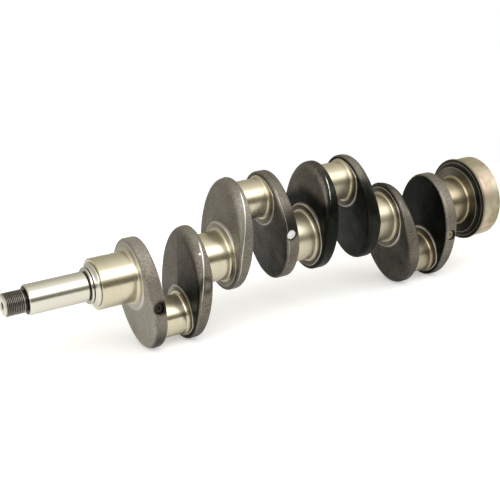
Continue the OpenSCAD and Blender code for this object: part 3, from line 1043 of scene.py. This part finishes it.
def build_flinger():
    """Dark disc in front of the seal land."""
    low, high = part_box("rear_oil_flinger")
    r = high.z
    points = [
        (low.x, 0),
        (low.x, r - 7 * MM),
        (low.x + 1.4 * MM, r - 1 * MM),
        (low.x + 2.2 * MM, r),
        (high.x - 0.5 * MM, r),
        (high.x, r - 0.6 * MM),
        (high.x, 0),
    ]
    mesh = turned(softened(points, 0.3 * MM), "black", segments=224)
    finish_piece("oil_flinger", mesh, "rear_oil_flinger")


def build_flange():
    """Seal land with pilot bore and tapped flywheel bolt holes in its rear face."""
    size = sizes()
    low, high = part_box("rear_flange")
    r = high.z
    bore = size.pilot / 2
    floor_x = high.x - 18 * MM
    points = [
        (low.x, 0),
        (low.x, r - 1 * MM),
        (low.x + 1 * MM, r - 1 * MM),
        (low.x + 2 * MM, r),
        (high.x - 1.5 * MM, r),
        (high.x, r - 1.5 * MM),
        (high.x, bore + 1 * MM),
        (high.x - 1 * MM, bore),
        (floor_x, bore),
        (floor_x, 0),
    ]
    mesh = turned(softened(points, 0.35 * MM), "flange", segments=224)
    hole = size.bolt_hole / 2
    mouth = hole + 1 * MM
    drill = turned(
        [
            (high.x - 22 * MM, 0),
            (high.x - 20 * MM, hole),
            (high.x - 1 * MM, hole),
            (high.x, mouth),
            (high.x + 1 * MM, mouth + 1 * MM),
            (high.x + 1 * MM, 0),
        ],
        "bore", segments=48, step=0.35 * MM,
        thread={
            "Thread Start": high.x - 19.5 * MM,
            "Thread End": high.x - 0.8 * MM,
            "Thread Pitch": 1.75 * MM,
            "Thread Depth": -0.8 * MM,
        },
    )
    values = {
        "Count": size.bolt_count,
        "Circle Radius": size.bolt_circle / 2,
        "Finish": FINISHES["bore"],
    }
    drills = facing_out(grown(bpy.data.node_groups["bolt_circle"], drill, values))
    finish_piece("seal_land_flange", carved(mesh, drills), "rear_flange")


# ---------------------------------------------------------------- forged webs

# Looks of each web: oil and painted shade on its face and its rim, clean pale skin, and how bright
# its rim edge is from wear and painted highlight
WEB_LOOK = {
    1: (0.02, 0.06, 0.95, 0.12),
    2: (0.25, 0.08, 0.25, 1.0),
    3: (0.15, 0.16, 0.35, 1.0),
    4: (0.50, 0.22, 0.0, 0.62),
    5: (0.32, 0.92, 0.0, 0.6),
    6: (0.90, 0.90, 0.0, 0.35),
    7: (0.62, 0.30, 0.0, 0.4),
    8: (0.98, 0.14, 0.1, 0.5),
}
# How far each web's forging is rounded away: its pin end on the main's side, and its main end
# on the pin's side
WEB_BEVEL = {
    1: (8 * MM, 3 * MM),
    2: (5 * MM, 12 * MM),
    3: (11 * MM, 7 * MM),
    4: (4 * MM, 3 * MM),
    5: (9 * MM, 3 * MM),
    6: (10 * MM, 6 * MM),
    7: (7 * MM, 14 * MM),
    8: (6 * MM, 3 * MM),
}
# Rim drillings: web, side of its rim, how deep the plug sits, and lean in degrees
RIM_WAYS = {
    1: (1, -1, 3.5 * MM, 0),
    2: (4, -1, 1.8 * MM, 12),
    3: (5, 1, 3.5 * MM, 0),
    4: (8, -1, 3.5 * MM, 0),
}


def face_x(k, side, tau, b):
    """Distance of a web's face from its main journal's centre. Only web 2's ridge is crisp."""
    size = sizes()
    web_t = HALF - 2 * CHEEK_X - 2 * size.cheek_h
    lean = size.lean_main if side < 0 else size.lean_pin
    plane = WEB_MID + side * web_t / 2 + lean * (tau - THROW / 2)
    soft = (0.5 if k == 2 else 16) * MM
    return plane + side * size.draft * (WEB_W - math.hypot(b, soft))


def trimmed(side, x):
    """A face held just below its machined cheek."""
    trim = 0.6 * MM
    return max(x, CHEEK_X + trim) if side < 0 else min(x, HALF - CHEEK_X - trim)


def smoothstep(low, high, value):
    """Smooth rise from 0 to 1 between two values, or fall when the first is the higher."""
    t = max(0.0, min(1.0, (value - low) / (high - low)))
    return t * t * (3 - 2 * t)


def bevel_depth(k, side, along):
    """How deep a rim edge is rounded, from the flanks (along 0) to the pin's end (1)."""
    flank = sizes().web_edge
    tip, towards = (WEB_BEVEL[k][0], along) if side < 0 else (WEB_BEVEL[k][1], -along)
    return flank + (tip - flank) * smoothstep(-0.3, 0.9, towards)


def web_rows(k, theta, rings, steps, rim_rows):
    """One meridian of a web at an angle round its oval, from face to face."""
    crease = 0.9 * MM

    def point(side, inset, depth, shrink=1.0):
        b = (WEB_W - inset) * math.sin(theta) * shrink
        tau = WEB_SHIFT + (WEB_L - inset) * math.cos(theta) * shrink
        return Vector((trimmed(side, face_x(k, side, tau, b)) - side * depth, b, tau))

    def half_of(side):
        deep = bevel_depth(k, side, math.cos(theta))
        wide = min(deep, 3 * MM + 0.55 * deep)
        rows = [point(side, wide, 0, i / rings) for i in range(1, rings + 1)]
        for i in range(1, steps + 1):
            t = math.radians(90 * i / steps)
            rows.append(point(side, wide * (1 - math.sin(t)), deep * (1 - math.cos(t))))
        rows.append(point(side, 0, deep + crease))
        return rows

    near, far = half_of(-1), half_of(1)
    rim = [near[-1].lerp(far[-1], i / rim_rows) for i in range(1, rim_rows)]
    return near + rim + far[::-1]


def forged_body(k):
    """The web's forging: leaning faces with a parting ridge, rounded rim, uneven skin."""
    around, rings, steps, rim_rows = 168, 14, 7, 5
    place = web_matrix(k)
    hammer = sizes().hammer
    low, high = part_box(f"web_{k}")
    work = bmesh.new()
    columns = []
    for i in range(around):
        rows = web_rows(k, math.tau * i / around, rings, steps, rim_rows)
        columns.append([work.verts.new(place @ p) for p in rows])
    ends = []
    for side in (-1, 1):
        x = trimmed(side, face_x(k, side, WEB_SHIFT, 0))
        ends.append(work.verts.new(place @ Vector((x, 0, WEB_SHIFT))))
    for a, b in zip(columns, columns[1:] + columns[:1]):
        work.faces.new((ends[0], a[0], b[0]))
        work.faces.new((ends[1], b[-1], a[-1]))
        for r in range(len(a) - 1):
            work.faces.new((a[r], a[r + 1], b[r + 1], b[r]))
    bmesh.ops.recalc_face_normals(work, faces=work.faces)
    work.normal_update()
    for vert in work.verts:
        wave = noise.fractal(vert.co * 45, 0.9, 2.1, 3) * 0.5 + 0.5
        vert.co -= vert.normal * hammer * max(0.0, min(1.0, wave))
        vert.co = [max(a, min(b, c)) for a, b, c in zip(low, high, vert.co)]
    return mesh_of(work, "forging", "forged")


def cheek_disc(side, tau, radius):
    """Machined cheek in a web's own frame: a low bevelled disc that stays inside the oval."""
    around, bevel, bevel_h, depth, inset = 160, 3 * MM, 2.6 * MM, 6 * MM, 2.5 * MM
    start = CHEEK_X if side < 0 else HALF - CHEEK_X
    w, l = WEB_W - inset, WEB_L - inset
    work = bmesh.new()
    loops = []
    for i in range(around):
        angle = math.tau * i / around
        b, t = math.sin(angle), math.cos(angle)
        # Where the ray from the journal's centre leaves the oval
        offset = tau - WEB_SHIFT
        qa = (b / w) ** 2 + (t / l) ** 2
        qb = 2 * offset * t / l ** 2
        qc = (offset / l) ** 2 - 1
        limit = (-qb + math.sqrt(qb * qb - 4 * qa * qc)) / (2 * qa)
        r = min(radius, limit)
        rows = [
            (0, r - bevel - 0.25 * MM), (0.06 * MM, r - bevel), (0.3 * MM, r - bevel + 0.25 * MM),
            (bevel_h - 0.3 * MM, r - 0.2 * MM), (bevel_h + 0.2 * MM, r), (depth, r),
        ]
        loops.append([
            work.verts.new((start - side * step, b * out, tau + t * out)) for step, out in rows
        ])
    work.faces.new([loop[0] for loop in loops])
    work.faces.new([loop[-1] for loop in loops])
    for a, b in zip(loops, loops[1:] + loops[:1]):
        for r in range(len(a) - 1):
            work.faces.new((a[r], a[r + 1], b[r + 1], b[r]))
    return mesh_of(work, "cheek", "cheek")


def rim_place(j):
    """Turns +X inwards at the rim drilling of crankpin j."""
    k, side, _, degrees = RIM_WAYS[j]
    lean = math.radians(degrees)
    # Distance along the drilling from the crank's middle plane to the oval rim
    u = math.cos(lean) / WEB_W
    v = math.sin(lean) / WEB_L
    c = (THROW / 2 - WEB_SHIFT) / WEB_L
    reach = (c * v + math.sqrt((c * v) ** 2 + (u * u + v * v) * (1 - c * c))) / (u * u + v * v)
    out = Vector((0, side * math.cos(lean), -math.sin(lean)))
    place = web_matrix(k)
    at = place @ (Vector((WEB_MID, 0, THROW / 2)) + out * reach)
    return pointing(-(place.to_3x3() @ out), at)


def rim_drill(j):
    """Cutting tool for a rim drilling, down to the bottom of the plug's seat and a little on."""
    size = sizes()
    sink = RIM_WAYS[j][2]
    r = size.plug / 2
    points = [
        (-3 * MM, 0), (-3 * MM, r + 0.6 * MM), (0.1 * MM, r + 0.5 * MM), (0.7 * MM, r + 0.05 * MM),
        (sink + size.plug_t, r + 0.05 * MM), (sink + size.plug_t + 3 * MM, r * 0.6),
        (sink + size.plug_t + 12 * MM, r * 0.6), (sink + size.plug_t + 12 * MM, 0),
    ]
    return turned(points, "bore", segments=64)


def punch_point():
    """Cutting tool for the timing punch mark."""
    deep, wide = 1.2 * MM, 2.1 * MM
    points = [(-2 * MM, 0), (-2 * MM, wide), (0.05 * MM, wide), (deep, 0.3 * MM), (deep, 0)]
    return turned(points, "plug", segments=32)


def punch_place():
    """Turns +X inwards at the punch mark, on the rim of web 2 just above its main journal."""
    tau = -0.33 * THROW
    rim_y = WEB_W * math.sqrt(1 - ((tau - WEB_SHIFT) / WEB_L) ** 2)
    at = web_matrix(2) @ Vector((WEB_MID - 2 * MM, -rim_y, tau))
    return pointing((0, 1, 0), at)


def oil_and_shade_at(k, spot, face, rim, on_rim):
    """How dark a web is at a spot in the crank's frame, from oil and from painted shade."""
    x, y, z = spot
    amount = face + (rim - face) * on_rim
    off_rim = 1 - on_rim
    if k == 1:
        # Painted shade towards the bottom of the rim, with a round dark patch on the rim at its
        # drilling
        patch_x, patch_z = -0.2065, -0.0295
        patch_away = math.hypot((x - patch_x) * 0.8, z - patch_z)
        amount += on_rim * 0.25 * smoothstep(-0.045, -0.085, z)
        amount += on_rim * 0.8 * smoothstep(0.012, 0.006, patch_away)
    if k == 2:
        # Painted shade on the near side of the ridge and towards the bottom, with a dark arch on
        # the rim
        near_side = smoothstep(0.003, -0.002, y)
        arch_x, arch_z, arch_r, arch_w = -0.1484, -0.0169, 0.0065, 0.003
        amount += off_rim * near_side * (0.14 + 0.58 * smoothstep(0.02, -0.045, z))
        amount += off_rim * 0.3 * smoothstep(-0.01, -0.05, z)
        arch = math.hypot(x - arch_x, (z - arch_z) * 0.8) - arch_r
        amount += 0.5 * on_rim * math.exp(-(arch / arch_w) ** 2) * (y < 0)
    if k == 3:
        # The face darkens downwards
        amount += 0.35 * off_rim * smoothstep(0.03, -0.05, z)
    if k == 4:
        # A dark patch above the plug, and painted shade on the face towards the bottom
        above = smoothstep(0.062, 0.03, z) * smoothstep(0.014, 0.024, z) * (y < 0)
        amount += on_rim * 0.5 * above + off_rim * 0.35 * smoothstep(0.05, -0.02, z)
    if k == 5:
        # The face dark below a waved line, and a painted highlight on the rim at the top
        line = 0.049 + 0.006 * math.cos(max(-1.0, min(1.0, y / 0.05)) * math.pi)
        amount += off_rim * 0.85 * smoothstep(line + 0.012, line - 0.012, z)
        amount -= on_rim * 0.3 * smoothstep(0.07, 0.088, z)
    if k == 6:
        # Painted highlight on the rim at the top
        amount -= on_rim * 0.85 * smoothstep(0.058, 0.082, z)
    if k == 7:
        # Oil that has stayed at the top
        amount += (0.25 + 0.4 * on_rim) * smoothstep(0.03, 0.055, z)
    # Painted shade on the undersides of the rims
    return amount + 0.45 * on_rim * smoothstep(-0.4, -0.95, z / WEB_HIGH.z)


def in_drilling(k, spot):
    """Whether a point stands on the wall of a web's rim drilling."""
    for j, (web, *_) in RIM_WAYS.items():
        if web == k:
            inside = rim_place(j).inverted() @ spot
            if math.hypot(inside.y, inside.z) < sizes().plug / 2 + 0.9 * MM:
                return True
    return False


def paint_web(mesh, k):
    """Writes how dark from oil and painted shade, how pale, and how bright from edge wear and
    painted highlight each point of a web is.
    """
    place = web_matrix(k)
    back = place.inverted()
    face_oil_and_shade, rim_oil_and_shade, pale_share, edge_share = WEB_LOOK[k]
    layers = {name: mesh.attributes.new(name, "FLOAT", "POINT") for name in ("oil", "edge", "pale")}
    near = 0.5 * MM
    # Painted highlight: the rim edges on the side facing the nose are painted brighter than those
    # facing the flange
    near_side = -1 if k % 2 else 1
    for vert in mesh.vertices:
        x, b, tau = back @ vert.co
        along = (tau - WEB_SHIFT) / WEB_L
        from_rim = (1 - math.hypot(b / WEB_W, along)) * WEB_W
        on_rim = 1 - smoothstep(0.2 * MM, 2.5 * MM, from_rim)
        if in_drilling(k, vert.co):
            on_rim = 1.0
        worn = 0.0
        for side, journal_x in ((-1, CHEEK_X), (1, HALF - CHEEK_X)):
            depth = side * (trimmed(side, face_x(k, side, tau, b)) - x)
            if abs(depth - bevel_depth(k, side, along)) < near and from_rim < 0.6 * MM:
                fade = smoothstep(0.93, 0.7, abs(along))
                # The painted highlight fades towards the bottom, and on webs 5 and 6 is kept to the
                # top
                low_fade = 1 - 0.5 * smoothstep(0.01, -0.05, vert.co.z)
                if k in (5, 6):
                    low_fade = smoothstep(0.03, 0.055, vert.co.z)
                shown = 1.0 if side == near_side else 0.2
                worn = edge_share * fade * low_fade * shown
            # The machined cheek's step edge is painted bright: a ground edge with painted highlight
            step = side * (journal_x - x)
            if 0.02 * MM < step < 0.4 * MM:
                worn = 0.9
        # The oil layer holds real oil and painted shade
        amount = oil_and_shade_at(k, vert.co, face_oil_and_shade, rim_oil_and_shade, on_rim)
        layers["oil"].data[vert.index].value = max(0.0, min(1.0, amount))
        layers["edge"].data[vert.index].value = worn
        # Painted shade: the pale skin is taken off the lower part of each rim
        lower_rim_shade = 0.8 * on_rim * smoothstep(0.044, 0.015, vert.co.z)
        layers["pale"].data[vert.index].value = pale_share * (1 - lower_rim_shade)


def build_web(k):
    """Forged web k with its two machined cheeks and any rim drilling."""
    size = sizes()
    main_r = half_size("main_journal_3").y - size.fillet + size.main_ring
    pin_r = half_size("crankpin_2").y - size.fillet + size.pin_ring
    discs = joined(cheek_disc(-1, 0, main_r), cheek_disc(1, THROW, pin_r))
    discs.transform(web_matrix(k))
    mesh = carved(forged_body(k), facing_out(discs), "UNION")
    for j, (web, *_) in RIM_WAYS.items():
        if web == k:
            mesh = drilled(mesh, rim_drill(j), rim_place(j))
    if k == 2:
        mesh = drilled(mesh, punch_point(), punch_place())
    facing_out(mesh)
    paint_web(mesh, k)
    piece = finish_piece(f"forged_web_{k}", mesh, f"web_{k}", angle=24)
    if k == 2:
        mark_ridge(piece.data)


def mark_ridge(mesh):
    """Keeps the forging's parting line crisp."""
    sharp = mesh.attributes.get("sharp_edge")
    if sharp is None:
        sharp = mesh.attributes.new("sharp_edge", "BOOLEAN", "EDGE")
    verts = mesh.vertices
    for line in mesh.edges:
        a, b = (verts[i].co for i in line.vertices)
        if abs(a.y) < 0.05 * MM and abs(b.y) < 0.05 * MM:
            sharp.data[line.index].value = True


def build_plug(j):
    """Plug in the rim drilling of crankpin j, with a hexagon socket."""
    size = sizes()
    sink = RIM_WAYS[j][2]
    r = size.plug / 2
    points = [
        (sink, 0), (sink, r - 1.0 * MM), (sink + 0.7 * MM, r), (sink + size.plug_t, r),
        (sink + size.plug_t, 0),
    ]
    # Plugs 1 and 3 are painted black as the shade inside their drillings
    finish = {1: "sunken", 2: "plug", 3: "sunken", 4: "cheek"}[j]
    mesh = turned(softened(points, 0.3 * MM), finish, segments=96)
    key_r = 2.5 * MM
    front, back = sink - 1 * MM, sink + 2.2 * MM
    key = [(front, 0), (front, key_r), (back, key_r), (back, 0)]
    mesh = carved(mesh, turned(key, finish, segments=6, step=20 * MM))
    mesh.transform(rim_place(j))
    finish_piece(f"oilway_plug_{j}", mesh, f"oil_plug_{j}")


# ---------------------------------------------------------------- stage

def build_floor():
    """Plain pale floor under the lowest web, fading out a step away from the crank."""
    low = CAD_BOX[0][2]
    reach = 1.2
    crank_end = 0.3
    mesh = bpy.data.meshes.new("floor")
    corners = [(x * reach, y * reach, low) for x, y in ((-1, -1), (1, -1), (1, 1), (-1, 1))]
    mesh.from_pydata(corners, [], [(0, 1, 2, 3)])
    stage = bpy.context.scene.crank_stage
    w = Finish("pale_floor", {"Roughness": 0.9, "Emission Strength": stage.lift})
    cloud = w.math("MULTIPLY", w.noise(w.place, 3.0, 2.0, 0.5), 0.06)
    tone = w.mix(cloud, stage.floor, (0.85, 0.85, 0.84))
    w.feed(w.shader["Base Color"], tone)
    seen = w.add("ShaderNodeLightPath").outputs["Is Camera Ray"]
    w.feed(w.shader["Emission Color"], w.mix(seen, (0.0, 0.0, 0.0), tone))
    x, y, _ = w.add("ShaderNodeSeparateXYZ", {0: w.place}).outputs
    past_end = w.math("MAXIMUM", w.math("SUBTRACT", w.math("ABSOLUTE", x), crank_end), 0.0)
    away = w.math("SQRT", w.math("MULTIPLY_ADD", y, y, w.math("MULTIPLY", past_end, past_end)))
    faded = stage.floor_reach + stage.floor_fade
    w.feed(w.shader["Alpha"], w.ramp(away, stage.floor_reach, faded, 1.0, 0.0))
    mesh.materials.append(w.material)
    linked("floor", mesh)


# Studio light round the crank: degrees up from level on the near side, brightness, warmth
STUDIO = (
    (-180, 0.45, 0.3), (-150, 0.3, 0.5), (-60, 0.45, 0.3), (-20, 0.35, 0.5), (-8, 0.15, 1.0),
    (12, 0.15, 1.0), (22, 0.7, 0.5), (30, 2.2, 0.0), (56, 2.2, 0.0), (70, 1.0, 0.2),
    (92, 0.75, 0.3), (125, 0.5, 0.6), (155, 0.4, 0.6), (180, 0.45, 0.3),
)


def build_light():
    """A studio around the object: a long soft light above the near side, a dark level band."""
    world = bpy.data.worlds.new("studio")
    bpy.context.scene.world = world
    world.use_nodes = True
    world.node_tree.nodes.clear()
    w = Wiring(world.node_tree)
    around = w.add("ShaderNodeTexCoord").outputs["Generated"]
    way = w.add("ShaderNodeSeparateXYZ", {0: around}).outputs
    up = w.math("ARCTAN2", way["Z"], w.math("MULTIPLY", way["Y"], -1.0))
    t = w.math("MULTIPLY_ADD", up, 1 / math.tau, 0.5)
    ramp = w.add("ShaderNodeValToRGB", {"Fac": t})
    peak = max(level for _, level, _ in STUDIO)
    bands = ramp.color_ramp.elements
    while len(bands) < len(STUDIO):
        bands.new(0.5)
    for band, (degrees, level, warmth) in zip(bands, STUDIO):
        red = level / peak
        band.position = degrees / 360 + 0.5
        band.color = (red, red * (1 - 0.05 * warmth), red * (0.98 - 0.25 * warmth), 1)
    seen = w.add("ShaderNodeLightPath").outputs["Is Camera Ray"]
    glow = w.mix(seen, ramp.outputs["Color"], (1 / peak, 1 / peak, 1 / peak))
    back = w.add("ShaderNodeBackground", {"Color": glow, "Strength": peak})
    w.add("ShaderNodeOutputWorld", {"Surface": back.outputs[0]})


def build_camera():
    """Camera beside the nose, looking along and down."""
    stage = bpy.context.scene.crank_stage
    data = bpy.data.cameras.new("camera")
    data.sensor_width = 36.0
    data.lens = stage.lens
    data.clip_end = 200.0
    camera = linked("camera", data)
    turn = (
        Matrix.Rotation(-stage.turn, 4, "Z")
        @ Matrix.Rotation(math.pi / 2 - stage.tilt, 4, "X")
        @ Matrix.Rotation(stage.roll, 4, "Z")
    )
    camera.matrix_world = Matrix.Translation(stage.camera) @ turn
    bpy.context.scene.camera = camera


# ---------------------------------------------------------------- operators and panel

class CRANK_OT_finishes(bpy.types.Operator):
    """Makes the node trees and finishes that the pieces share."""

    bl_idname = "crank.finishes"
    bl_label = "Finishes"

    def execute(self, context):
        turned_tree()
        bolt_tree()
        turning_marks()
        forged_skin()
        broken_mask()
        make_finishes()
        return {"FINISHED"}


class CRANK_OT_nose(bpy.types.Operator):
    """Builds the threaded tip, the seat and the shoulder."""

    bl_idname = "crank.nose"
    bl_label = "Nose"

    def execute(self, context):
        build_nose_thread()
        build_nose_seat()
        build_nose_shoulder()
        return {"FINISHED"}


class CRANK_OT_mains(bpy.types.Operator):
    """Builds the five main journals."""

    bl_idname = "crank.mains"
    bl_label = "Main journals"

    def execute(self, context):
        for i in MAINS:
            build_main_journal(i)
        return {"FINISHED"}


class CRANK_OT_pins(bpy.types.Operator):
    """Builds the four crankpins."""

    bl_idname = "crank.pins"
    bl_label = "Crankpins"

    def execute(self, context):
        for j in PINS:
            build_crankpin(j)
        return {"FINISHED"}


class CRANK_OT_webs(bpy.types.Operator):
    """Builds the eight forged webs."""

    bl_idname = "crank.webs"
    bl_label = "Webs"

    def execute(self, context):
        for k in WEBS:
            build_web(k)
        return {"FINISHED"}


class CRANK_OT_plugs(bpy.types.Operator):
    """Builds the plugs of the rim drillings."""

    bl_idname = "crank.plugs"
    bl_label = "Oil plugs"

    def execute(self, context):
        for j in PINS:
            build_plug(j)
        return {"FINISHED"}


class CRANK_OT_flange(bpy.types.Operator):
    """Builds the rear ring, the oil flinger and the flange."""

    bl_idname = "crank.flange"
    bl_label = "Rear end"

    def execute(self, context):
        build_rear_ring()
        build_flinger()
        build_flange()
        return {"FINISHED"}


class CRANK_OT_stage(bpy.types.Operator):
    """Builds the floor, the studio light and the camera."""

    bl_idname = "crank.stage"
    bl_label = "Stage"

    def execute(self, context):
        build_floor()
        build_light()
        build_camera()
        context.scene.view_settings.view_transform = "Standard"
        return {"FINISHED"}


OPERATORS = (
    CRANK_OT_finishes, CRANK_OT_nose, CRANK_OT_mains, CRANK_OT_pins,
    CRANK_OT_webs, CRANK_OT_plugs, CRANK_OT_flange, CRANK_OT_stage,
)


class CRANK_PT_panel(bpy.types.Panel):
    """Lists the crankshaft's pieces in the sidebar."""

    bl_label = "Crankshaft"
    bl_idname = "CRANK_PT_panel"
    bl_space_type = "VIEW_3D"
    bl_region_type = "UI"
    bl_category = "Crankshaft"

    def draw(self, context):
        for operator in OPERATORS:
            self.layout.operator(operator.bl_idname)
        for group in (
            context.scene.crank_sizes, context.scene.crank_colours, context.scene.crank_stage,
        ):
            for name in group.bl_rna.properties.keys():
                if name not in ("rna_type", "name"):
                    self.layout.prop(group, name)


CLASSES = (CrankSizes, CrankColours, CrankStage, *OPERATORS, CRANK_PT_panel)


def register():
    """Registers the classes and hangs their settings on the scene."""
    for cls in CLASSES:
        bpy.utils.register_class(cls)
    bpy.types.Scene.crank_sizes = bpy.props.PointerProperty(type=CrankSizes)
    bpy.types.Scene.crank_colours = bpy.props.PointerProperty(type=CrankColours)
    bpy.types.Scene.crank_stage = bpy.props.PointerProperty(type=CrankStage)


def unregister():
    """Takes the settings and classes away again."""
    del bpy.types.Scene.crank_stage
    del bpy.types.Scene.crank_colours
    del bpy.types.Scene.crank_sizes
    for cls in reversed(CLASSES):
        bpy.utils.unregister_class(cls)


def main():
    """Builds everything in order."""
    register()
    for operator in OPERATORS:
        group, name = operator.bl_idname.split(".")
        getattr(getattr(bpy.ops, group), name)()


if __name__ == "__main__":
    main()
